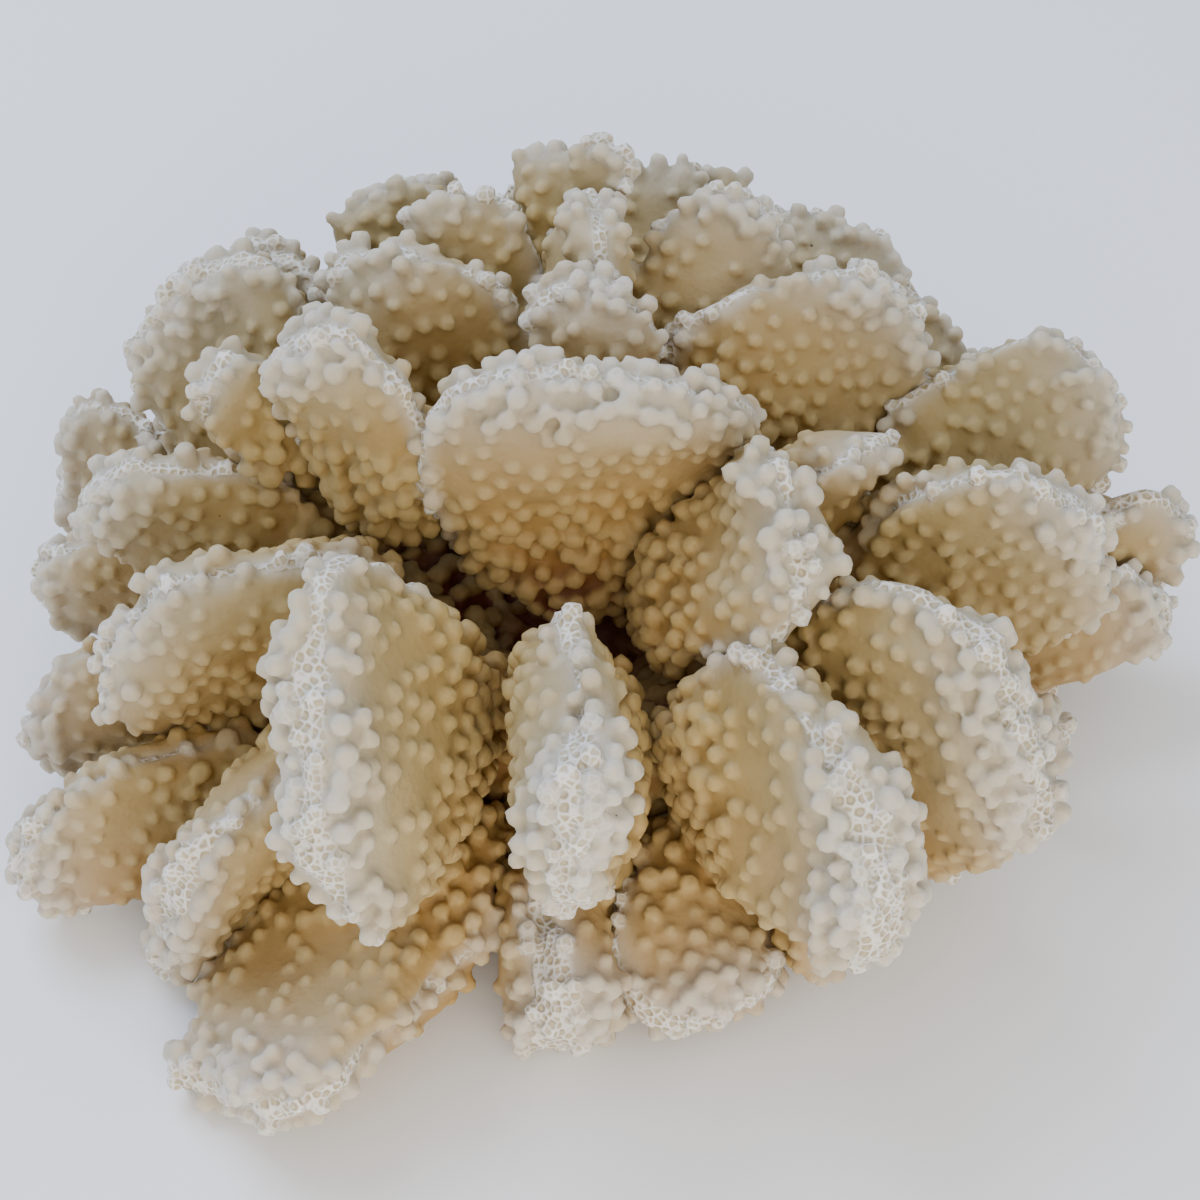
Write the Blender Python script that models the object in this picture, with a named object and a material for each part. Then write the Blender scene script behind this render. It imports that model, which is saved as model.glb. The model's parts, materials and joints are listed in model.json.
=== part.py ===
"""Cauliflower coral: a dome of flattened, warty lobes that grow out of one short holdfast.

Sizes in this file are millimetres until a mesh is made, which turns them into metres.
The origin is the middle of the flat cut under the holdfast. +Z is up, and -Y is the side that the
coral is looked at from.
"""

import math
from dataclasses import dataclass

import bmesh
import bpy
import numpy as np

METRES = 0.001
GOLDEN_SHARE = 0.618  # of a turn, so that no two lobes wander alike

# The holdfast, from its cut foot up over its rim and in to its middle, as (radius, height) of its outline.
HOLDFAST_OUTLINE = (
    (28.0, 0.0),
    (32.0, 5.0),
    (38.0, 11.0),
    (42.0, 19.0),
    (42.5, 27.0),
    (37.0, 34.0),
    (27.0, 35.0),
    (15.0, 31.0),
)
HOLDFAST_TOP = 29.0  # in the middle
HOLDFAST_SIDES = 24
HOLDFAST_LUMP = 1.6
SKIN_DEPTH = 8.0  # of the solid under its surface that keeps the lobes out of it
SKIN_BELOW = 2.4  # how far under its outline that solid is centred

# The dark gap between the central lobes and those in front, which goes down into the holdfast.
HOLLOW_MIDDLE = np.array((2.0, -14.0))
HOLLOW_RADIUS = 26.0
HOLLOW_DEPTH = 16.0
HOLLOW_FLOOR = 12.0  # nothing lower than this is sunk

# The lobes' crowns reach about as far as one dome, and their lines start on a much smaller one.
MIDDLE = np.array((0.0, 0.0, 14.0))
DOME = np.array((104.0, 104.0, 98.0))
ROOTS = np.array((26.0, 26.0, 18.0))

# What every lobe shares.
SECTION_SQUARENESS = 3.0  # superellipse power of a section, so that a blade keeps its thickness
WART_HEIGHT = 2.2  # how far a lump stands proud of the blade
WART_SPACING = 6.9  # between neighbouring corners of the mesh; a third of them are lumps
FEWEST_SIDES, MOST_SIDES = 9, 18  # of a lobe's sections
CROWN_RINGS = 4  # from the shoulder to the crown
CROWN_BLUNTNESS = 4.0  # superellipse power by which a blade thins out at its crown
WAVES = 9.0  # radians that the wandering runs through from root to crown
MARGIN_WAVE = 0.10  # how far the margins wander in and out, as a share of the width
FACE_WAVE = 2.4  # how far the blade wanders to either side of flat
FAR_PHASE = 2.0  # radians that the far margin wanders ahead of the near one
FORK_CLEARANCE = 3.0  # a lobe starts where its spine is this far outside what it grows from
FORK_CAP = 1.5  # how far its closing point reaches back from there
FORK_STEPS = 63  # places tried along the spine for the fork
EDGE_CLEARANCE = 3.0  # the same for the middle of a margin
NEIGHBOUR_GAP = 1.6  # between two lobes where they press against each other
FLOOR_GAP = 2.5  # the lowest that a lobe hangs over what the coral stands on
MARGIN_STEP = 1.0  # by which a margin is tried further out
MARGIN_EASING = (0.25, 0.5, 0.25)  # each ring's width is evened out with its neighbours' in these shares
BODY_SPACING = 3.5  # between the points that stand for a blade's bulk
DRAWN_SHARES = np.linspace(1.0, 0.1, 19)  # tried in turn until a corner is clear of its neighbours

BONE = (0.80, 0.70, 0.52, 1.0)
STAINED = (0.42, 0.27, 0.15, 1.0)


@dataclass
class Lobe:
    """A lobe grows outwards from the middle of the coral, and its flat blade is turned about that line."""

    name: str
    azimuth: float  # degrees round from +X; -90 is towards the side that is looked at
    elevation: float  # degrees above level
    reach: float  # how far out its crown is, as a share of the dome
    width: float  # half width at the shoulder
    twist: float  # degrees that the blade is turned about its own line, from standing upright
    other: float = 1.0  # width of the far side, as a share of the near one
    foot: float = 9.0  # half width where it starts
    half: float = 6.0  # half thickness of the blade under its lumps
    cup: float = 0.0  # how far the two margins curl towards the blade's face
    square: float = 2.9  # superellipse power of the rounded outer margin
    shoulder: float = 0.62  # share of its length at which it is widest
    flare: float = 1.0  # the higher, the longer a lobe stays slender before it widens to its shoulder
    root: float = 1.0  # where its line starts, as a share of the way out to the dome of roots


LOBES = (
    # Round the crown
    Lobe("centre_fan", -70, 79, 0.86, 31, -75, foot=18, other=0.9, square=3.4, root=0.2),
    Lobe("centre_fold", -48, 56, 0.89, 19, 36, half=7),
    Lobe("crown_knob", 63, 84, 0.84, 12, 68),
    Lobe("crown_spike", 88, 71, 0.90, 12, -2),
    Lobe("upper_left_finger", -170, 61, 0.93, 16, -150),
    Lobe("upper_left_knob", 147, 63, 0.91, 16, 150),
    Lobe("upper_left_bud", 124, 60, 0.90, 13, 127),
    Lobe("right_back_fan", 54, 57, 0.88, 17, 65),
    Lobe("right_back_fold", 26, 52, 0.86, 22, -157),
    Lobe("inner_right_knob", -14, 53, 0.79, 13, -40),
    # The ring of large lobes round the shoulder
    Lobe("front_ridge", -91, 36, 1.00, 20, -4, half=7, foot=6, flare=1.5),
    Lobe(
        "front_left_fan", -117, 33, 1.00, 31, -16,
        half=7, other=0.9, foot=6, square=2.5, shoulder=0.78, flare=2,
    ),
    Lobe("front_right_ridge", -63, 25, 1.00, 26, 4, half=8, other=0.8, cup=3, foot=6, shoulder=0.72, flare=2),
    Lobe("right_front_fan", -40, 24, 0.98, 31, -2, half=7),
    Lobe("right_fan", -12, 31, 0.99, 28, -8, half=7, square=2.8, other=0.85, cup=4),
    Lobe("right_back_blade", 13, 25, 1.04, 24, 11, other=0.8),
    Lobe("far_right_fan", 44, 31, 0.93, 26, 70),
    Lobe("left_disc", -157, 27, 0.92, 26, 9, half=7, cup=-4),
    Lobe("left_upper", -179, 27, 0.91, 18, 2),
    Lobe("left_finger", 178, 48, 0.92, 13, 170),
    Lobe("left_back_fan", 160, 41, 0.97, 25, 163),
    Lobe("left_back_ridge", 142, 32, 0.96, 20, 10),
    Lobe("upper_left_far", 127, 50, 0.95, 16, 139),
    Lobe("back_fan_left", 95, 60, 0.95, 17, 105),
    Lobe("back_fan_mid", 83, 44, 0.93, 22, -104),
    Lobe("back_fan_right", 71, 37, 0.96, 21, -118),
    # The skirt, which hangs out over the ground
    Lobe("front_ridge_low", -92, -1, 0.79, 14, -9, half=10),
    Lobe("front_left_tip", -119, -1, 1.08, 21, 70, half=8, square=3),
    Lobe("front_left_skirt", -136, 4, 0.95, 27, 10, half=7),
    Lobe("left_low_fan", -150, 1, 1.04, 19, -3),
    Lobe("left_disc_back", -169, 5, 0.97, 18, 6),
    Lobe("left_small", 175, 8, 0.98, 14, -4),
    Lobe("left_upper_back", 162, 11, 1.04, 20, 1),
    Lobe("front_right_skirt", -74, 0, 0.80, 16, 80, half=8),
    Lobe("front_right_tip", -58, 4, 0.84, 16, 0, half=8),
    Lobe("right_low_knob", -19, 7, 0.87, 15, -9),
    Lobe("right_tip_lower", -1, 6, 1.02, 13, 7),
    Lobe("right_tip_upper", 8, 9, 1.08, 15, 7),
    # The side away from the view
    Lobe("back_low_mid", 90, 4, 0.95, 20, 0, half=7),
    Lobe("back_low_left", 146, 8, 0.98, 24, 5, half=7),
    Lobe("back_low_right", 34, 8, 0.97, 24, 10, half=7),
    Lobe("back_low_mid_left", 119, 3, 0.95, 25, 75, half=7),
    Lobe("back_low_mid_right", 61, 3, 0.95, 25, 75, half=7),
    Lobe("back_shoulder_left", 113, 27, 0.96, 28, 5, half=7),
    Lobe("back_shoulder_mid", 87, 26, 0.95, 22, 65, half=7),
    Lobe("back_shoulder_right", 66, 20, 0.96, 22, 10, half=7),
)


def unit(vector):
    """The vector at length 1."""
    return vector / np.linalg.norm(vector)


def smoothstep(x):
    """An even ease from 0 at 0 to 1 at 1."""
    x = min(1.0, max(0.0, x))
    return x * x * (3 - 2 * x)


def rounded(x, power):
    """Height of a superellipse of size 1 at x."""
    return (1 - min(1.0, abs(x)) ** power) ** (1 / power)


def directions(azimuth, elevation):
    """Unit vectors outwards at these angles, upwards square to that, and round towards growing azimuth."""
    turn, lift = math.radians(azimuth), math.radians(elevation)
    ahead = np.array((math.cos(turn), math.sin(turn), 0.0))
    above = np.array((0.0, 0.0, 1.0))
    outward = math.cos(lift) * ahead + math.sin(lift) * above
    upward = math.cos(lift) * above - math.sin(lift) * ahead
    return outward, upward, np.cross(above, ahead)


def depth_outside(points, bodies):
    """How far each point is outside bodies, which are rows of a point and the half thickness about it."""
    gaps = np.linalg.norm(points[:, None, :] - bodies[None, :, :3], axis=2) - bodies[None, :, 3]
    return gaps.min(axis=1)


class Blade:
    """One lobe's line and its sections: where they are, how far they reach and how thick they are."""

    def __init__(self, lobe, order, grown):
        """grown holds the bodies of the holdfast and of the lobes that were there first."""
        self.lobe = lobe
        self.phase = 2 * math.pi * GOLDEN_SHARE * order
        outward, upward, around = directions(lobe.azimuth, lobe.elevation)
        twist = math.radians(lobe.twist)
        self.across = math.cos(twist) * upward + math.sin(twist) * around
        self.width = lobe.width
        self.foot = MIDDLE + lobe.root * ROOTS * outward
        self.crown = MIDDLE + lobe.reach * DOME * outward
        self.length = np.linalg.norm(self.crown - self.foot)
        self.ahead = unit(self.crown - self.foot)
        self.start = self.fork(grown)
        self.shares = self.ring_shares()
        self.centres = np.array([self.spine(s) for s in self.shares])
        self.widthways = unit(self.across - self.across @ self.ahead * self.ahead)
        self.faceways = np.cross(self.ahead, self.widthways)
        self.half = np.array([self.thickness(s) for s in self.shares])
        self.near = np.array([self.reach(s, 1.0, self.phase) for s in self.shares])
        self.far = np.array([self.reach(s, lobe.other, self.phase + FAR_PHASE) for s in self.shares])
        self.trim(self.near, 1, grown)
        self.trim(self.far, -1, grown)

    def spine(self, s):
        """The point this share of the way from where the lobe's line starts to its crown."""
        return (1 - s) * self.foot + s * self.crown

    def fork(self, grown):
        """The share of the spine at which this lobe comes clear of what it grows from."""
        shares = np.linspace(0, self.lobe.shoulder, FORK_STEPS)
        outside = depth_outside(np.array([self.spine(s) for s in shares]), grown)
        inside = np.nonzero(outside < FORK_CLEARANCE)[0]
        return shares[min(len(shares) - 1, inside[-1] + 1)] if len(inside) else 0.0

    def ring_shares(self):
        """Where the rings stand along the spine: even up to the shoulder, then closing round the crown."""
        count = max(1, round((self.lobe.shoulder - self.start) * self.length / WART_SPACING))
        straight = [self.start + (self.lobe.shoulder - self.start) * k / count for k in range(count)]
        turns = [math.pi / 2 * k / CROWN_RINGS for k in range(CROWN_RINGS)]
        return straight + [self.lobe.shoulder + (1 - self.lobe.shoulder) * math.sin(turn) for turn in turns]

    def reach(self, s, share, phase):
        """How far a margin is from the spine: out from the foot to the shoulder, then round the crown."""
        full = self.width * share * (1 + MARGIN_WAVE * math.sin(WAVES * s + phase))
        if s < self.lobe.shoulder:
            foot = min(self.lobe.foot, full)
            return foot + (full - foot) * smoothstep(s / self.lobe.shoulder) ** self.lobe.flare
        return full * rounded((s - self.lobe.shoulder) / (1 - self.lobe.shoulder), self.lobe.square)

    def thickness(self, s):
        """Half the thickness of the blade there, under its lumps."""
        closing = max(0.0, (s - self.lobe.shoulder) / (1 - self.lobe.shoulder))
        return self.lobe.half * rounded(closing, CROWN_BLUNTNESS)

    def sheet(self, k, v):
        """Points of the blade's middle surface: ring k, v millimetres across."""
        v = np.asarray(v)
        wave = FACE_WAVE * np.sin(WAVES * self.shares[k] + 2 * v / self.width + self.phase)
        aside = self.lobe.cup * (v / self.width) ** 2 + wave * min(1.0, self.shares[k] / self.lobe.shoulder)
        return self.centres[k] + v[..., None] * self.widthways + aside[..., None] * self.faceways

    def trim(self, reaches, sign, grown):
        """Draws a margin in wherever it would run into the ground or into what is there already."""
        for k in range(len(reaches)):
            for reach in np.arange(MARGIN_STEP, reaches[k] - self.half[k] + MARGIN_STEP, MARGIN_STEP):
                edge = self.sheet(k, sign * reach)
                room = min(depth_outside(edge[None, :], grown)[0], edge[2] - FLOOR_GAP)
                if room < EDGE_CLEARANCE:
                    reaches[k] = reach + min(self.half[k], EDGE_CLEARANCE)
                    break
        eased = np.convolve(np.pad(reaches, 1, mode="edge"), MARGIN_EASING, mode="valid")
        reaches[:-1] = np.minimum(reaches, eased)[:-1]

    def bodies(self):
        """Points over the middle surface, each with the half thickness about it."""
        rows = []
        for k in range(len(self.shares)):
            inset = min(self.half[k], self.near[k], self.far[k])
            low, high = inset - self.far[k], self.near[k] - inset
            for v in np.linspace(low, high, max(1, round((high - low) / BODY_SPACING)) + 1):
                rows.append((*self.sheet(k, v), inset))
        return np.array(rows)

    def section(self, k, count=96):
        """The outline of ring k as points, before it is divided evenly."""
        turn = np.linspace(0, 2 * math.pi, count, endpoint=False)
        c, s = np.cos(turn), np.sin(turn)
        across = np.sign(c) * np.abs(c) ** (2 / SECTION_SQUARENESS)
        through = np.sign(s) * np.abs(s) ** (2 / SECTION_SQUARENESS)
        v = across * np.where(across > 0, self.near[k], self.far[k])
        return self.sheet(k, v) + (through * self.half[k])[:, None] * self.faceways

    def middle_under(self, k, points):
        """The points of the middle surface that the points of ring k stand on."""
        inset = min(self.half[k], self.near[k], self.far[k])
        v = (points - self.centres[k]) @ self.widthways
        return self.sheet(k, np.clip(v, inset - self.far[k], self.near[k] - inset))


def evenly(points, count, phase):
    """The closed outline divided into count equal steps, starting phase steps along it."""
    closed = np.vstack([points, points[:1]])
    run = np.concatenate([[0], np.cumsum(np.linalg.norm(np.diff(closed, axis=0), axis=1))])
    wanted = (np.arange(count) + phase) / count * run[-1] % run[-1]
    return np.stack([np.interp(wanted, run, closed[:, axis]) for axis in range(3)], axis=1)


def settled(points, own, others):
    """Whether each point is on its own lobe's side of the gap to the others, and clear of the ground."""
    clear = depth_outside(points, own) + NEIGHBOUR_GAP < depth_outside(points, others)
    return clear & (points[:, 2] > FLOOR_GAP)


def drawn_in(points, anchors, own, others):
    """Draws points in towards their anchors, each until it is clear of the other lobes and of the ground."""
    moved = points.copy()
    for share in DRAWN_SHARES:
        loose = ~settled(moved, own, others)
        if not loose.any():
            break
        moved[loose] = (anchors + share * (points - anchors))[loose]
    return moved


def ring_faces(rings, sides):
    """Triangles between rings half a step apart, and to one point past each end: the far end's first."""
    faces = []
    for k in range(rings - 1):
        for side in range(sides):
            a, b = k * sides + side, k * sides + (side + 1) % sides
            faces += [(a, b, a + sides), (b, b + sides, a + sides)]
    last = (rings - 1) * sides
    for side in range(sides):
        after = (side + 1) % sides
        faces += [(last + side, last + after, rings * sides), (after, side, rings * sides + 1)]
    return faces


def lobe_mesh(blade, own, others):
    """Points and faces of a lobe. Its rings are half a step apart, and every third corner is a lump."""
    widest = blade.section(int(np.argmax(blade.near + blade.far)))
    perimeter = np.linalg.norm(np.diff(widest, axis=0), axis=1).sum()
    sides = min(MOST_SIDES, max(FEWEST_SIDES, 3 * round(perimeter / WART_SPACING / 3)))
    rings = len(blade.shares)
    points = []
    for k in range(rings):
        ring = evenly(blade.section(k), sides, k / 2)
        anchors = blade.middle_under(k, ring)
        out = ring - anchors
        out /= np.linalg.norm(out, axis=1)[:, None]
        lump = np.array([WART_HEIGHT if (side - k) % 3 == 0 else 0.0 for side in range(sides)])
        points.append(drawn_in(ring + out * lump[:, None], anchors, own, others))
    points.append([blade.crown + blade.ahead * WART_HEIGHT])
    points.append([blade.centres[0] - blade.ahead * FORK_CAP])
    return np.vstack(points), ring_faces(rings, sides)


def sunk(x, y, height):
    """The height there once the hollow is taken out of the holdfast."""
    near = 1 - math.dist((x, y), HOLLOW_MIDDLE) / HOLLOW_RADIUS
    return height - HOLLOW_DEPTH * smoothstep(near) if height > HOLLOW_FLOOR else height


def holdfast_bodies():
    """Points inside the holdfast, each with the depth of solid about it."""
    rows = []
    for radius, height in HOLDFAST_OUTLINE:
        ring = radius - min(SKIN_DEPTH, radius)
        for turn in np.linspace(0, 2 * math.pi, 3 * HOLDFAST_SIDES // 2, endpoint=False):
            x, y = ring * math.cos(turn), ring * math.sin(turn)
            rows.append((x, y, sunk(x, y, height) - SKIN_BELOW, SKIN_DEPTH + HOLDFAST_LUMP))
    return np.array(rows)


def holdfast_mesh():
    """Points and faces of the holdfast: a squat lumpy mound with a flat cut for its foot."""
    points = []
    for k, (radius, height) in enumerate(HOLDFAST_OUTLINE):
        for side in range(HOLDFAST_SIDES):
            turn = 2 * math.pi * (side + k / 2) / HOLDFAST_SIDES
            proud = radius + (HOLDFAST_LUMP if k and (side - k) % 3 == 0 else 0.0)
            x, y = proud * math.cos(turn), proud * math.sin(turn)
            points.append((x, y, sunk(x, y, height)))
    points += [(0, 0, sunk(0, 0, HOLDFAST_TOP)), (0, 0, 0)]
    return np.array(points, float), ring_faces(len(HOLDFAST_OUTLINE), HOLDFAST_SIDES)


def solid(name, points, faces, colour, roughness):
    """A closed mesh object of this name, with its own material."""
    mesh = bpy.data.meshes.new(name)
    mesh.from_pydata((points * METRES).tolist(), [], faces)
    work = bmesh.new()
    work.from_mesh(mesh)
    bmesh.ops.recalc_face_normals(work, faces=work.faces)
    work.to_mesh(mesh)
    work.free()
    mesh.materials.append(material(name, colour, roughness))
    item = bpy.data.objects.new(name, mesh)
    bpy.context.scene.collection.objects.link(item)
    return item


def material(name, colour, roughness):
    """A plain matt material."""
    made = bpy.data.materials.new(name)
    made.use_nodes = True
    shader = made.node_tree.nodes["Principled BSDF"]
    shader.inputs["Base Color"].default_value = colour
    shader.inputs["Roughness"].default_value = roughness
    shader.inputs["Metallic"].default_value = 0.0
    return made


def grow():
    """The points that each lobe fills. They grow in the list's order, each from what is there before it."""
    filled = {"holdfast": holdfast_bodies()}
    blades = []
    for order, lobe in enumerate(LOBES):
        blade = Blade(lobe, order, np.vstack(list(filled.values())))
        filled[lobe.name] = blade.bodies()
        blades.append(blade)
    return blades, filled


def main():
    for item in list(bpy.data.objects):
        bpy.data.objects.remove(item)
    solid("holdfast", *holdfast_mesh(), STAINED, 0.9)
    blades, filled = grow()
    for blade in blades:
        name = blade.lobe.name
        others = np.vstack([bodies for owner, bodies in filled.items() if owner != name])
        solid(name, *lobe_mesh(blade, filled[name], others), BONE, 0.8)


if __name__ == "__main__":
    main()
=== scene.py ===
"""Looks of the cauliflower coral: each lobe grown over with warts, its dry finish, and a plain studio."""

import json
import math

import bmesh
import bpy
import numpy as np
from bpy.props import FloatProperty, FloatVectorProperty, IntProperty, PointerProperty
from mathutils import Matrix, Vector

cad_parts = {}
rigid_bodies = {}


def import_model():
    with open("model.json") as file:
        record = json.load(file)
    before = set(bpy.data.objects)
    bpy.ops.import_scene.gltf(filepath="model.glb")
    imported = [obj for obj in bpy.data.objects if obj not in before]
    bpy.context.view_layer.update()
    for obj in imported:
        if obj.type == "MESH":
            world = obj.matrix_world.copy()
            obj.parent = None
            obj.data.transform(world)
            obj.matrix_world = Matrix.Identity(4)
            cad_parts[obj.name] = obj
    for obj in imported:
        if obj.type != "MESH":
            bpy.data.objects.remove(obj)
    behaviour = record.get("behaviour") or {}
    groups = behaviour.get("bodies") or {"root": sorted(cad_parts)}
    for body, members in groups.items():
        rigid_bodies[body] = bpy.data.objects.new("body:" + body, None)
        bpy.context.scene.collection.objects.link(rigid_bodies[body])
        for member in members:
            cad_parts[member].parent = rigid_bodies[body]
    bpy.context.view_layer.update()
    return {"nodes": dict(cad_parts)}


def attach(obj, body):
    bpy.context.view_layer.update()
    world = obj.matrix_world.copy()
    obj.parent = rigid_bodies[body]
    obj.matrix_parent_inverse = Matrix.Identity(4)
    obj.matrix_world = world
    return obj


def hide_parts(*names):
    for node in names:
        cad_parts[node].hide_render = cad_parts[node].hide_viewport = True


bl_info = {
    "name": "Cauliflower Coral",
    "version": (1, 0, 0),
    "blender": (4, 5, 0),
    "location": "View3D > Sidebar > Coral",
    "description": "Grows warty lobes over a packed coral skeleton and lights them",
    "category": "Object",
}

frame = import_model()

MM = 0.001
HOLDFAST = "holdfast"
LOBES = sorted(name for name in frame["nodes"] if name != HOLDFAST)

# The lobes grow outwards from this point over the middle of the cut.
GROWTH_MIDDLE = Vector((0.0, 0.0, 14.0)) * MM

# The hollow in front of the central lobes, where the stain is darkest. It is wider than it is deep.
STAIN_MIDDLE = Vector((-3.0, -8.0, 25.0)) * MM
STAIN_STRETCH = (0.6, 1.0, 1.0)
# How far from there the stain reaches, on the lobes and on the holdfast.
LOBE_STAIN = 34 * MM
HOLDFAST_STAIN = 44 * MM

# Between these distances from the growth's middle, and up to this height, ochre gives way to paler skeleton.
OLD_REACH = 35 * MM
YOUNG_REACH = 90 * MM
YOUNG_LEVEL = 60 * MM
# The size of the pale clouds in the skeleton, and how far they shift the edge of the stain.
CLOUD_LENGTH = 18 * MM
CLOUD_DRIFT = 12 * MM
# The usual distance between two specks of dirt.
SPECK_SPACING = 14 * MM
SPECK_COLOUR = "3a2c20"
# The cells' raised walls are the palest thing on the coral: a painted highlight where light catches them.
WALL_HIGHLIGHT_COLOUR = "f4f0e7"

# The photograph's view: the point aimed at, and how far back and how steeply the camera looks down.
AIM = Vector((3.0, -2.0, 30.0)) * MM
VIEW_DISTANCE = 480 * MM
VIEW_ELEVATION = math.radians(45)
VIEW_LENS = 78.9
SENSOR = 36.0

# Places and sides in metres of the two lights, their colours, the sky's, and the side of the floor.
KEY_PLACE = (-0.5, 0.4, 0.95)
KEY_SIZE = 0.7
KEY_COLOUR = "cfddff"
FILL_PLACE = (0.1, -0.55, 0.25)
FILL_SIZE = 0.5
FILL_COLOUR = "ffeed6"
SKY_COLOUR = "e2eaf6"
FLOOR_SIZE = 6

KNOB_SIDES = 10
# Rings of a knob of radius 1 and height 1 over the skin, as (radius, height). It is rooted under the skin.
KNOB_RINGS = ((0.96, -0.6), (0.96, 0.0), (1.04, 0.55), (0.82, 0.9))
KNOB_KINDS = 6
SMALLEST_KNOB = 0.74
LARGEST_KNOB = 1.14
# Corners lower than this belong to the cut. They are sunk before the skin is smoothed, and raised to the
# floor again at the end, so that the cut keeps a sharp edge.
CUT_CORNER = 0.1 * MM
CUT_SINK = 5 * MM
# How much coarser the holdfast's mesh is than the lobes', which hide most of it.
HIDDEN_COARSER = 1.2
# Share of a fused mesh's faces that are kept, so that the colony stays at about a million.
KEPT_FACES = 0.38
# How many points are tried for each square of the spacing, so that warts end up as close as it allows.
SCATTER_TRIES = 5.0

# The size inputs of the geometry nodes, and the properties that they take their values from.
SIZE_SOCKETS = {
    "Swell": "swell",
    "Swell Length": "swell_length",
    "Spacing": "wart_spacing",
    "Radius": "wart_radius",
    "Height": "wart_height",
    "Rim Spacing": "rim_spacing",
    "Rim Radius": "rim_radius",
    "Rim Height": "rim_height",
}


def srgb(code):
    """A colour code such as d8c8a0 as the linear red, green and blue that shaders take."""
    values = [int(code[i : i + 2], 16) / 255 for i in (0, 2, 4)]
    return tuple(v / 12.92 if v <= 0.04045 else ((v + 0.055) / 1.055) ** 2.4 for v in values)


class CoralShape(bpy.types.PropertyGroup):
    """Sizes of the skin and its warts."""

    skin_grid: FloatProperty(
        name="Skin grid",
        description="Side of the faces that a lobe's smooth skin is made of",
        default=1.5 * MM,
        unit="LENGTH",
        precision=5,
    )
    fused_grid: FloatProperty(
        name="Fused grid",
        description="Side of the faces that the warts and the skin are made one with",
        default=0.6 * MM,
        unit="LENGTH",
        precision=5,
    )
    swell: FloatProperty(
        name="Swell",
        description="How far the skin wanders in and out of the smooth lobe",
        default=1.5 * MM,
        unit="LENGTH",
        precision=5,
    )
    swell_length: FloatProperty(
        name="Swell length",
        description="Distance from one swelling of the skin to the next",
        default=13 * MM,
        unit="LENGTH",
        precision=5,
    )
    wart_spacing: FloatProperty(
        name="Wart spacing",
        description="Least distance between the middles of two warts",
        default=3.5 * MM,
        unit="LENGTH",
        precision=5,
    )
    wart_radius: FloatProperty(
        name="Wart radius",
        description="Radius of a full-grown wart",
        default=1.95 * MM,
        unit="LENGTH",
        precision=5,
    )
    wart_height: FloatProperty(
        name="Wart height",
        description="How far a full-grown wart stands out of the skin",
        default=3.1 * MM,
        unit="LENGTH",
        precision=5,
    )
    rim_spacing: FloatProperty(
        name="Rim wart spacing",
        description="Least distance between the middles of two warts on a margin",
        default=2.9 * MM,
        unit="LENGTH",
        precision=5,
    )
    rim_radius: FloatProperty(
        name="Rim wart radius",
        description="Radius of a wart on a margin",
        default=1.65 * MM,
        unit="LENGTH",
        precision=5,
    )
    rim_height: FloatProperty(
        name="Rim wart height",
        description="How far a wart on a margin stands out of the skin",
        default=2.8 * MM,
        unit="LENGTH",
        precision=5,
    )
    seed: IntProperty(
        name="Seed",
        description="Start of the random numbers that scatter the warts",
        default=7,
        min=0,
    )


class CoralFinish(bpy.types.PropertyGroup):
    """Colours and cell sizes of the bare skeleton."""

    matrix_colour: FloatVectorProperty(
        name="Between the warts",
        description="Ochre of the clear skeleton between the warts",
        subtype="COLOR",
        default=srgb("97824e"),
        min=0,
        max=1,
    )
    foot_colour: FloatVectorProperty(
        name="Feet",
        description="Deeper ochre of the old skeleton deep inside the colony",
        subtype="COLOR",
        default=srgb("ab8244"),
        min=0,
        max=1,
    )
    # Painted highlight: this cream is laid on the warts' tops by their height, paler where light falls on
    # them. It also tints the pale clouds, and the insides of the cells on the crests.
    top_highlight_and_cloud_colour: FloatVectorProperty(
        name="Wart tops",
        description="Cream of the warts' tops",
        subtype="COLOR",
        default=srgb("b29e6a"),
        min=0,
        max=1,
    )
    rim_colour: FloatVectorProperty(
        name="Growing rims",
        description="Near white of the fresh crust along the margins",
        subtype="COLOR",
        default=srgb("cbcbc6"),
        min=0,
        max=1,
    )
    stain_colour: FloatVectorProperty(
        name="Stain",
        description="Dark brown left in the gaps round the holdfast",
        subtype="COLOR",
        default=srgb("632a10"),
        min=0,
        max=1,
    )
    cell_size: FloatProperty(
        name="Cell size",
        description="Width of the cells that the animals sat in",
        default=1.5 * MM,
        unit="LENGTH",
        precision=5,
    )


class CoralStudio(bpy.types.PropertyGroup):
    """The floor and the lights."""

    floor_colour: FloatVectorProperty(
        name="Floor",
        description="Pale grey of the paper that the coral stands on",
        subtype="COLOR",
        default=srgb("f6f6f6"),
        min=0,
        max=1,
    )
    key_power: FloatProperty(
        name="Key light",
        description="Power of the large cool light above and behind the coral",
        default=12.5,
        unit="POWER",
    )
    fill_power: FloatProperty(
        name="Fill light",
        description="Power of the soft warm light from the front",
        default=3.2,
        unit="POWER",
    )


def add_node(tree, kind, settings=(), inputs=()):
    """Adds a node, sets its properties, and links or sets its inputs, which are given by name or number."""
    made = tree.nodes.new(kind)
    for name, value in dict(settings).items():
        setattr(made, name, value)
    for key, value in dict(inputs).items():
        if isinstance(value, bpy.types.NodeSocket):
            tree.links.new(value, made.inputs[key])
        else:
            made.inputs[key].default_value = value
    return made


def remap(tree, value, low, high, to_low, to_high, smooth=False):
    """The value's place between low and high, carried over to the range from to_low to to_high."""
    kind = "SMOOTHSTEP" if smooth else "LINEAR"
    spans = {"Value": value, "From Min": low, "From Max": high, "To Min": to_low, "To Max": to_high}
    return add_node(tree, "ShaderNodeMapRange", {"interpolation_type": kind}, spans).outputs["Result"]


def maths(tree, operation, *values):
    """The outcome of a Math node."""
    return add_node(tree, "ShaderNodeMath", {"operation": operation}, dict(enumerate(values))).outputs[0]


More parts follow.
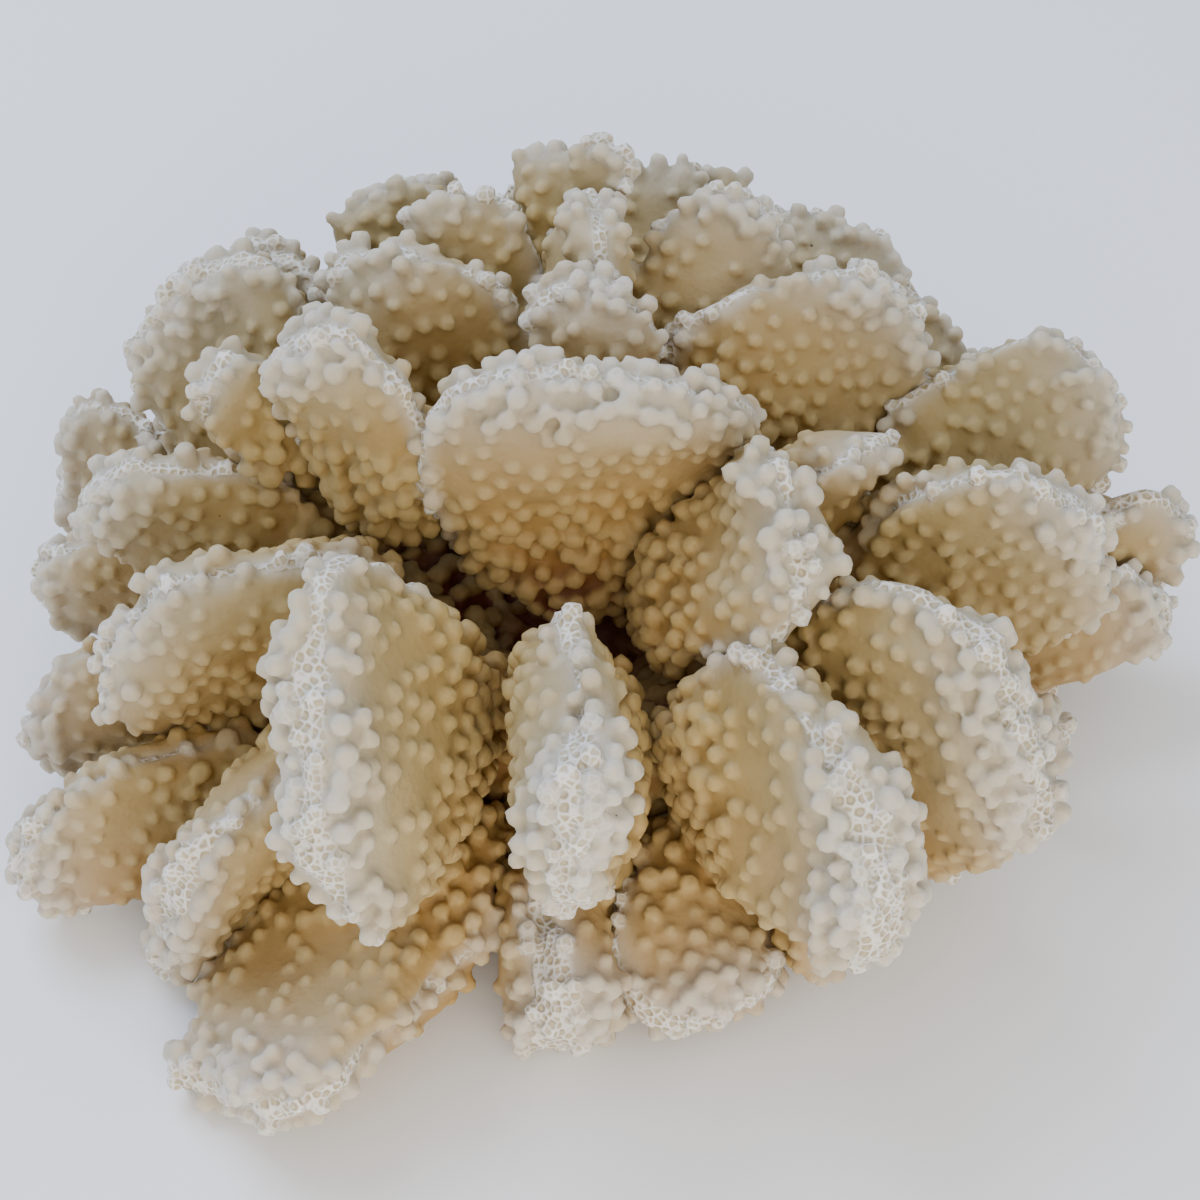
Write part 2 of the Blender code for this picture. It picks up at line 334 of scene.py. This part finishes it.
def vector(tree, operation, *values):
    """The outcome of a Vector Math node, whose last input is the scale where that is the operation."""
    places = {0: values[0], "Scale": values[1]} if operation == "SCALE" else dict(enumerate(values))
    return add_node(tree, "ShaderNodeVectorMath", {"operation": operation}, places).outputs[0]


def blend(tree, share, first, second):
    """The colour that share of the way from the first to the second."""
    sources = {0: share, 6: first, 7: second}
    return add_node(tree, "ShaderNodeMix", {"data_type": "RGBA"}, sources).outputs[2]


def bare_skeleton(finish, name, stain_reach):
    """Aragonite, the stone of coral skeletons, bleached and dry: matt, a little clear, ochre where it is
    thick and near white where it is fresh and full of air."""
    made = bpy.data.materials.new(name)
    made.use_nodes = True
    tree = made.node_tree
    tree.nodes.clear()
    place = add_node(tree, "ShaderNodeTexCoord").outputs["Object"]
    tip, rim, fresh = (
        add_node(tree, "ShaderNodeAttribute", {"attribute_name": key}).outputs["Fac"]
        for key in ("tip", "rim", "fresh")
    )
    matrix, foot, wart, crust, stain = (
        (*colour, 1)
        for colour in (
            finish.matrix_colour,
            finish.foot_colour,
            finish.top_highlight_and_cloud_colour,
            finish.rim_colour,
            finish.stain_colour,
        )
    )

    # Clouds, as the skeleton's clearness varies.
    cloudy = {"Vector": place, "Scale": 1 / CLOUD_LENGTH, "Detail": 0}
    clouds = add_node(tree, "ShaderNodeTexNoise", {}, cloudy)
    clouds = remap(tree, clouds.outputs["Fac"], 0.3, 0.7, 0.0, 0.35)

    # The thin walls of the cells, and the broader ridge under each wall.
    honeycomb = {"Vector": place, "Scale": 1 / finish.cell_size, "Randomness": 0.85}
    cells = add_node(tree, "ShaderNodeTexVoronoi", {}, honeycomb)
    edges = add_node(tree, "ShaderNodeTexVoronoi", {"feature": "DISTANCE_TO_EDGE"}, honeycomb)
    walls = remap(tree, edges.outputs["Distance"], 0.02, 0.22, 1.0, 0.0, smooth=True)
    ridge = remap(tree, cells.outputs["Distance"], 0.25, 0.6, 0.0, 1.0, smooth=True)

    outwards = add_node(
        tree, "ShaderNodeVectorMath", {"operation": "DISTANCE"}, {0: place, 1: tuple(GROWTH_MIDDLE)}
    ).outputs["Value"]
    level = add_node(tree, "ShaderNodeSeparateXYZ", {}, {0: place}).outputs["Z"]
    far = remap(tree, outwards, OLD_REACH, YOUNG_REACH, 0.0, 1.0)
    young = maths(tree, "MULTIPLY", far, remap(tree, level, 0.0, YOUNG_LEVEL, 0.3, 1.0))
    ground = blend(tree, young, foot, matrix)
    # Painted highlight: each wart is made paler towards its top, so the darker ochre ground between the
    # warts stands in for shade.
    body = blend(tree, remap(tree, tip, 0.1, 0.9, 0.0, 0.5), ground, wart)
    body = blend(tree, clouds, body, wart)
    # The fresh crust lies fullest on the warts' tops, part of the same painted highlight.
    body = blend(tree, maths(tree, "MULTIPLY", fresh, remap(tree, tip, 0.0, 0.7, 0.7, 1.0)), body, crust)

    # On the crests the cells show, a little darker inside and paler on their walls: painted shade in the
    # sunken cells and a painted highlight on the raised walls.
    crest = remap(tree, rim, 0.7, 1.0, 0.0, 1.0, smooth=True)
    body = blend(tree, maths(tree, "MULTIPLY", crest, remap(tree, walls, 0.0, 0.6, 0.5, 0.0)), body, wart)
    pale = maths(tree, "MULTIPLY", walls, maths(tree, "MULTIPLY", crest, 0.6))
    body = blend(tree, pale, body, (*srgb(WALL_HIGHLIGHT_COLOUR), 1))

    # The stain lies in the hollow and round it, between the warts, and covers the warts only deepest in.
    away = vector(tree, "MULTIPLY", vector(tree, "SUBTRACT", place, tuple(STAIN_MIDDLE)), STAIN_STRETCH)
    away = add_node(tree, "ShaderNodeVectorMath", {"operation": "LENGTH"}, {0: away}).outputs["Value"]
    away = maths(tree, "MULTIPLY_ADD", clouds, CLOUD_DRIFT, away)
    close = remap(tree, away, 0.4 * stain_reach, stain_reach, 1.0, 0.0, smooth=True)
    sunk = remap(tree, tip, 0.25, 0.65, 1.0, 0.15)
    deep = remap(tree, away, 0.15 * stain_reach, 0.4 * stain_reach, 0.9, 0.0, smooth=True)
    body = blend(tree, maths(tree, "MAXIMUM", maths(tree, "MULTIPLY", close, sunk), deep), body, stain)

    # Here and there sits a speck of dirt, about half a millimetre wide.
    specks = add_node(tree, "ShaderNodeTexVoronoi", {}, {"Vector": place, "Scale": 1 / SPECK_SPACING})
    dirty = remap(tree, specks.outputs["Distance"], 0.016, 0.024, 0.85, 0.0)
    body = blend(tree, dirty, body, (*srgb(SPECK_COLOUR), 1))

    # The ridges stand out on the crests and are only hinted at on the faces.
    relief = maths(tree, "MULTIPLY", ridge, remap(tree, crest, 0.0, 1.0, 0.1, 1.0))
    bump = add_node(tree, "ShaderNodeBump", {}, {"Height": relief, "Strength": 0.8, "Distance": 0.6 * MM})
    shader = add_node(
        tree,
        "ShaderNodeBsdfPrincipled",
        {},
        {
            "Base Color": body,
            "Roughness": 0.62,
            "IOR": 1.53,
            "Specular IOR Level": 0.35,
            "Subsurface Weight": 0.5,
            "Subsurface Radius": (1.0, 0.7, 0.4),
            "Subsurface Scale": 3.0 * MM,
            "Normal": bump.outputs["Normal"],
        },
    )
    add_node(tree, "ShaderNodeOutputMaterial", {}, {"Surface": shader.outputs[0]})
    return made


def knob_mesh(kind):
    """A rounded wart of radius 1 and height 1, a little out of true. Its tip attribute runs from 0 to 1."""
    rng = np.random.default_rng(kind)
    points, faces = [], []
    for radius, height in KNOB_RINGS:
        for side in range(KNOB_SIDES):
            turn = 2 * math.pi * side / KNOB_SIDES
            wide = radius * rng.uniform(0.86, 1.12)
            points.append((wide * math.cos(turn), wide * math.sin(turn), height + rng.uniform(-0.07, 0.07)))
    points.append((*rng.uniform(-0.2, 0.2, 2), 1.0))
    for ring in range(len(KNOB_RINGS) - 1):
        for side in range(KNOB_SIDES):
            a, b = ring * KNOB_SIDES + side, ring * KNOB_SIDES + (side + 1) % KNOB_SIDES
            faces.append((a, b, b + KNOB_SIDES, a + KNOB_SIDES))
    last = (len(KNOB_RINGS) - 1) * KNOB_SIDES
    for side in range(KNOB_SIDES):
        faces.append((last + side, last + (side + 1) % KNOB_SIDES, len(points) - 1))
    faces.append(tuple(reversed(range(KNOB_SIDES))))
    mesh = bpy.data.meshes.new(f"knob_{kind}")
    mesh.from_pydata(points, [], faces)
    tips = np.clip([point[2] for point in points], 0, 1).astype(np.float32)
    mesh.attributes.new("tip", "FLOAT", "POINT").data.foreach_set("value", tips)
    return mesh


def knobs():
    """A collection of the knobs of every kind."""
    group = bpy.data.collections.new("knobs")
    for kind in range(KNOB_KINDS):
        mesh = knob_mesh(kind)
        group.objects.link(bpy.data.objects.new(mesh.name, mesh))
    return group


def skin(name, shape):
    """A smooth even mesh over a CAD node."""
    work = bmesh.new()
    work.from_mesh(frame["nodes"][name].data)
    bmesh.ops.remove_doubles(work, verts=work.verts, dist=0.001 * MM)
    for corner in work.verts:
        if corner.co.z < CUT_CORNER:
            corner.co.z -= CUT_SINK
    mesh = bpy.data.meshes.new(name)
    work.to_mesh(mesh)
    work.free()
    item = bpy.data.objects.new(name + "_skin", mesh)
    bpy.context.scene.collection.objects.link(item)
    rounded = item.modifiers.new("rounded", "SUBSURF")
    rounded.levels = rounded.render_levels = 2
    remesh(item, shape.skin_grid, 3)
    item.data = settle(item)
    return item


def remesh(item, grid, softenings):
    """Gives an object modifiers that make its mesh anew in even faces and soften it."""
    even = item.modifiers.new("even", "REMESH")
    even.mode = "VOXEL"
    even.voxel_size = grid
    softened = item.modifiers.new("softened", "SMOOTH")
    softened.factor = 0.5
    softened.iterations = softenings


def settle(item):
    """The mesh that an object's modifiers make, after which they are taken off."""
    graph = bpy.context.evaluated_depsgraph_get()
    mesh = bpy.data.meshes.new_from_object(item.evaluated_get(graph), depsgraph=graph)
    item.modifiers.clear()
    return mesh


def read_vectors(data, key):
    """One vector for each item of a mesh's list, as rows."""
    values = np.empty(len(data) * 3, np.float32)
    data.foreach_get(key, values)
    return values.reshape(-1, 3)


def mark_growth(item, branches=True):
    """Stores out, which runs from 0 at a lobe's foot to 1 at its crown, rim, which is 1 on its margins, and
    fresh, which fades in more widely towards both."""
    points = read_vectors(item.data.vertices, "co")
    out = rim = fresh = np.zeros(len(points))
    if branches:
        away = np.linalg.norm(points - np.array(GROWTH_MIDDLE), axis=1)
        low, high = np.percentile(away, (1, 99))
        out = np.clip((away - low) / (high - low), 0, 1)
        face = np.linalg.eigh(np.cov((points - points.mean(axis=0)).T))[1][:, 0]
        edge = 1 - np.abs(read_vectors(item.data.vertex_normals, "vector") @ face)
        rim = np.clip((edge - 0.3) / 0.5, 0, 1) * np.clip((out - 0.15) / 0.35, 0, 1)
        rim = np.maximum(rim, np.clip((out - 0.8) / 0.25, 0, 1))
        fresh = np.clip(0.25 * np.clip((out - 0.5) / 0.5, 0, 1) ** 1.5 + 0.65 * rim**1.5, 0, 1)
    for key, values in (("out", out), ("rim", rim), ("fresh", fresh)):
        item.data.attributes.new(key, "FLOAT", "POINT").data.foreach_set("value", values.astype(np.float32))


def scattered(tree, group, ground, zone, spacing, radius, height, lean, seed):
    """Knobs over the part of the ground where zone is above 0, nowhere closer together than the spacing."""
    densest = maths(tree, "MULTIPLY", maths(tree, "POWER", spacing, -2.0), SCATTER_TRIES)
    points = add_node(
        tree,
        "GeometryNodeDistributePointsOnFaces",
        {"distribute_method": "POISSON", "use_legacy_normal": False},
        {
            "Mesh": ground,
            "Distance Min": spacing,
            "Density Max": densest,
            "Density Factor": zone,
            "Seed": seed,
        },
    )
    place = add_node(tree, "GeometryNodeInputPosition").outputs[0]
    growth = vector(tree, "NORMALIZE", vector(tree, "SUBTRACT", place, tuple(GROWTH_MIDDLE)))
    upright = vector(tree, "ADD", points.outputs["Normal"], vector(tree, "SCALE", growth, lean))
    turn = add_node(tree, "FunctionNodeAlignRotationToVector", {"axis": "Z"}, {"Vector": upright})
    sizes = {2: SMALLEST_KNOB, 3: LARGEST_KNOB, "Seed": seed}
    size = add_node(tree, "FunctionNodeRandomValue", {"data_type": "FLOAT"}, sizes)
    form = add_node(tree, "ShaderNodeCombineXYZ", {}, {"X": radius, "Y": radius, "Z": height}).outputs[0]
    kinds = add_node(
        tree,
        "GeometryNodeCollectionInfo",
        {},
        {"Collection": group, "Separate Children": True, "Reset Children": True},
    )
    return add_node(
        tree,
        "GeometryNodeInstanceOnPoints",
        {},
        {
            "Points": points.outputs["Points"],
            "Instance": kinds.outputs[0],
            "Pick Instance": True,
            "Rotation": turn.outputs[0],
            "Scale": vector(tree, "SCALE", form, size.outputs[1]),
        },
    ).outputs[0]


def geometry_tree(name, sockets):
    """New geometry nodes with these inputs, given as names and kinds, and one geometry that comes out."""
    tree = bpy.data.node_groups.new(name, "GeometryNodeTree")
    for key, kind in sockets.items():
        tree.interface.new_socket(key, in_out="INPUT", socket_type="NodeSocket" + kind)
    tree.interface.new_socket("Geometry", in_out="OUTPUT", socket_type="NodeSocketGeometry")
    return tree


def stored(tree, key):
    """A number that is stored with each point of the mesh."""
    made = add_node(tree, "GeometryNodeInputNamedAttribute", {"data_type": "FLOAT"}, {"Name": key})
    return made.outputs["Attribute"]


def finish_off(tree, geometry, material):
    """Makes the geometry real, gives it its material, and sends it out."""
    real = add_node(tree, "GeometryNodeRealizeInstances", {}, {"Geometry": geometry}).outputs[0]
    finished = add_node(tree, "GeometryNodeSetMaterial", {}, {"Geometry": real, "Material": material})
    add_node(tree, "NodeGroupOutput", {}, {"Geometry": finished.outputs[0]})


def wart_tree(group):
    """Geometry nodes that swell a lobe's skin and scatter warts over it, which are rooted under it."""
    sizes = dict.fromkeys(SIZE_SOCKETS, "Float")
    tree = geometry_tree("warts", {"Geometry": "Geometry", **sizes, "Seed": "Int", "Finish": "Material"})
    given = add_node(tree, "NodeGroupInput").outputs
    place = add_node(tree, "GeometryNodeInputPosition").outputs[0]
    normal = add_node(tree, "GeometryNodeInputNormal").outputs[0]
    out, rim = stored(tree, "out"), stored(tree, "rim")

    # The skin wanders in and out of the smooth lobe, and most at its margins.
    noise = add_node(
        tree,
        "ShaderNodeTexNoise",
        {},
        {"Vector": place, "Scale": maths(tree, "DIVIDE", 1.0, given["Swell Length"]), "Detail": 2.0},
    ).outputs["Fac"]
    wander = maths(tree, "MULTIPLY", remap(tree, noise, 0.3, 0.7, -1.1, 0.8), given["Swell"])
    wander = maths(tree, "MULTIPLY", wander, remap(tree, rim, 0.0, 1.0, 0.5, 1.4))
    lobing = add_node(
        tree,
        "ShaderNodeTexNoise",
        {},
        {"Vector": place, "Scale": maths(tree, "DIVIDE", 0.55, given["Swell Length"]), "Detail": 0.0},
    ).outputs["Fac"]
    lobing = maths(tree, "MULTIPLY", remap(tree, lobing, 0.35, 0.65, -2.2, 2.2), given["Swell"])
    wander = maths(tree, "MULTIPLY_ADD", lobing, rim, wander)
    swollen = add_node(
        tree,
        "GeometryNodeSetPosition",
        {},
        {"Geometry": given["Geometry"], "Offset": vector(tree, "SCALE", normal, wander)},
    ).outputs[0]

    # Warts are crowded and tall round the foot, sparser and low higher up a face. The rim has its own.
    foot = remap(tree, out, 0.3, 0.72, 1.0, 0.0, smooth=True)
    level = add_node(tree, "ShaderNodeSeparateXYZ", {}, {0: place}).outputs["Z"]
    clear = remap(tree, level, 1 * MM, 3 * MM, 0.0, 1.0)
    on_rim = maths(tree, "MULTIPLY", remap(tree, rim, 0.4, 0.45, 0.0, 1.0), clear)
    on_rim = maths(tree, "MULTIPLY", remap(tree, rim, 0.85, 0.98, 1.0, 0.2), on_rim)
    on_face = maths(tree, "MULTIPLY", remap(tree, rim, 0.4, 0.45, 1.0, 0.0), clear)
    on_face = maths(tree, "MULTIPLY", on_face, remap(tree, foot, 0.0, 1.0, 0.8, 1.0))
    width = maths(tree, "MULTIPLY", remap(tree, foot, 0.0, 1.0, 0.7, 1.0), given["Radius"])
    height = maths(tree, "MULTIPLY", remap(tree, foot, 0.0, 1.0, 0.36, 1.0), given["Height"])
    crested = maths(tree, "MULTIPLY", remap(tree, rim, 0.75, 1.0, 1.0, 0.65), given["Rim Height"])
    faces = scattered(tree, group, swollen, on_face, given["Spacing"], width, height, 0.4, given["Seed"])
    rims = scattered(
        tree, group, swollen, on_rim, given["Rim Spacing"], given["Rim Radius"], crested, 0.5, given["Seed"]
    )
    joined = add_node(tree, "GeometryNodeJoinGeometry")
    for part in (faces, rims, swollen):
        tree.links.new(part, joined.inputs[0])
    finish_off(tree, joined.outputs[0], given["Finish"])
    return tree


def finish_tree():
    """Geometry nodes that lay the marks of the loose warts and skin on the surface they are fused into."""
    tree = geometry_tree("fused", {"Geometry": "Geometry", "Loose": "Object", "Finish": "Material"})
    given = add_node(tree, "NodeGroupInput").outputs
    loose = add_node(tree, "GeometryNodeObjectInfo", {}, {"Object": given["Loose"]}).outputs["Geometry"]
    fused = given["Geometry"]
    for key in ("tip", "rim", "fresh"):
        source = {"Mesh": loose, "Value": stored(tree, key)}
        near = add_node(tree, "GeometryNodeSampleNearestSurface", {}, source)
        fused = add_node(
            tree,
            "GeometryNodeStoreNamedAttribute",
            {"data_type": "FLOAT", "domain": "POINT"},
            {"Geometry": fused, "Name": key, "Value": near.outputs["Value"]},
        ).outputs[0]

    # Nothing goes under the floor, where the coral is cut off.
    place = add_node(tree, "GeometryNodeInputPosition").outputs[0]
    level = vector(tree, "MAXIMUM", place, (-1.0, -1.0, 0.0))
    standing = add_node(tree, "GeometryNodeSetPosition", {}, {"Geometry": fused, "Position": level})
    smooth = add_node(tree, "GeometryNodeSetShadeSmooth", {}, {0: standing.outputs[0]}).outputs[0]
    finish_off(tree, smooth, given["Finish"])
    return tree


def add_tree(item, tree, values):
    """Puts geometry nodes on an object, with these values by the names of their sockets."""
    made = item.modifiers.new(tree.name, "NODES")
    made.node_group = tree
    for socket in tree.interface.items_tree:
        if socket.in_out == "INPUT" and socket.name in values:
            made[socket.identifier] = values[socket.name]


def grow(name, order, trees, shape, finish):
    """A piece grown over a CAD node: its skin, then warts all over it, then the two made one."""
    item = skin(name, shape)
    mark_growth(item, branches=name != HOLDFAST)
    warts, fused = trees
    sizes = {socket: getattr(shape, key) for socket, key in SIZE_SOCKETS.items()}
    add_tree(item, warts, {**sizes, "Seed": shape.seed + order, "Finish": finish})
    item.data = settle(item)
    loose = bpy.data.objects.new("loose", item.data)
    bpy.context.scene.collection.objects.link(loose)
    remesh(item, shape.fused_grid * (HIDDEN_COARSER if name == HOLDFAST else 1), 1)
    thinned = item.modifiers.new("thinned", "DECIMATE")
    thinned.ratio = KEPT_FACES
    add_tree(item, fused, {"Loose": loose, "Finish": finish})
    item.data = settle(item)
    bpy.data.objects.remove(loose)
    item.name = name + "_warty"
    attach(item, "root")
    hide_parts(name)
    return item


def grow_all(names, shape, finish):
    """Grows a piece over each of the named CAD nodes."""
    group = knobs()
    trees = wart_tree(group), finish_tree()
    pieces = [grow(name, order, trees, shape, finish) for order, name in enumerate(names)]
    for knob in list(group.objects):
        bpy.data.objects.remove(knob)
    bpy.data.collections.remove(group)
    return pieces


class CORAL_OT_lobes(bpy.types.Operator):
    """Grow a warty lobe over each lobe of the skeleton"""

    bl_idname = "coral.lobes"
    bl_label = "Grow Lobes"

    def execute(self, context):
        finish = bare_skeleton(context.scene.coral_finish, "dry_coral_skeleton", LOBE_STAIN)
        for item in grow_all(LOBES, context.scene.coral_shape, finish):
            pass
        return {"FINISHED"}


class CORAL_OT_holdfast(bpy.types.Operator):
    """Grow the stained holdfast in the middle of the colony"""

    bl_idname = "coral.holdfast"
    bl_label = "Grow Holdfast"

    def execute(self, context):
        finish = bare_skeleton(context.scene.coral_finish, "stained_coral_skeleton", HOLDFAST_STAIN)
        for item in grow_all([HOLDFAST], context.scene.coral_shape, finish):
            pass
        return {"FINISHED"}


def area_light(name, place, size, power, colour):
    """A square soft light that faces the coral."""
    data = bpy.data.lights.new(name, "AREA")
    data.size = size
    data.energy = power
    data.color = colour
    item = bpy.data.objects.new(name, data)
    item.location = place
    item.rotation_euler = (AIM - Vector(place)).to_track_quat("-Z", "Y").to_euler()
    bpy.context.scene.collection.objects.link(item)


class CORAL_OT_studio(bpy.types.Operator):
    """Set the floor, the soft lights and the camera"""

    bl_idname = "coral.studio"
    bl_label = "Set Studio"

    def execute(self, context):
        studio = context.scene.coral_studio
        paper = bpy.data.materials.new("grey_paper")
        paper.use_nodes = True
        shader = paper.node_tree.nodes["Principled BSDF"]
        shader.inputs["Base Color"].default_value = (*studio.floor_colour, 1)
        shader.inputs["Roughness"].default_value = 0.9
        bpy.ops.mesh.primitive_plane_add(size=FLOOR_SIZE)
        floor = context.active_object
        floor.name = "floor"
        floor.data.materials.append(paper)

        area_light("key", KEY_PLACE, KEY_SIZE, studio.key_power, srgb(KEY_COLOUR))
        area_light("fill", FILL_PLACE, FILL_SIZE, studio.fill_power, srgb(FILL_COLOUR))
        world = bpy.data.worlds.new("studio")
        world.use_nodes = True
        sky = world.node_tree.nodes["Background"]
        sky.inputs["Color"].default_value = (*srgb(SKY_COLOUR), 1)
        sky.inputs["Strength"].default_value = 1.0
        context.scene.world = world

        lens = bpy.data.cameras.new("camera")
        lens.lens = VIEW_LENS
        lens.sensor_width = SENSOR
        camera = bpy.data.objects.new("camera", lens)
        back = Vector((0.0, -math.cos(VIEW_ELEVATION), math.sin(VIEW_ELEVATION)))
        camera.location = AIM + VIEW_DISTANCE * back
        camera.rotation_euler = (-back).to_track_quat("-Z", "Y").to_euler()
        context.scene.collection.objects.link(camera)
        context.scene.camera = camera
        return {"FINISHED"}


class CORAL_PT_panel(bpy.types.Panel):
    """Sizes, colours and steps of the coral"""

    bl_label = "Coral"
    bl_idname = "CORAL_PT_panel"
    bl_space_type = "VIEW_3D"
    bl_region_type = "UI"
    bl_category = "Coral"

    def draw(self, context):
        for group in (context.scene.coral_shape, context.scene.coral_finish, context.scene.coral_studio):
            for name in group.__annotations__:
                self.layout.prop(group, name)
        for operator in (CORAL_OT_lobes, CORAL_OT_holdfast, CORAL_OT_studio):
            self.layout.operator(operator.bl_idname)


CLASSES = (
    CoralShape,
    CoralFinish,
    CoralStudio,
    CORAL_OT_lobes,
    CORAL_OT_holdfast,
    CORAL_OT_studio,
    CORAL_PT_panel,
)


def register():
    for item in CLASSES:
        bpy.utils.register_class(item)
    bpy.types.Scene.coral_shape = PointerProperty(type=CoralShape)
    bpy.types.Scene.coral_finish = PointerProperty(type=CoralFinish)
    bpy.types.Scene.coral_studio = PointerProperty(type=CoralStudio)


def unregister():
    del bpy.types.Scene.coral_studio
    del bpy.types.Scene.coral_finish
    del bpy.types.Scene.coral_shape
    for item in reversed(CLASSES):
        bpy.utils.unregister_class(item)


def main():
    register()
    bpy.ops.coral.lobes()
    bpy.ops.coral.holdfast()
    bpy.ops.coral.studio()


if __name__ == "__main__":
    main()
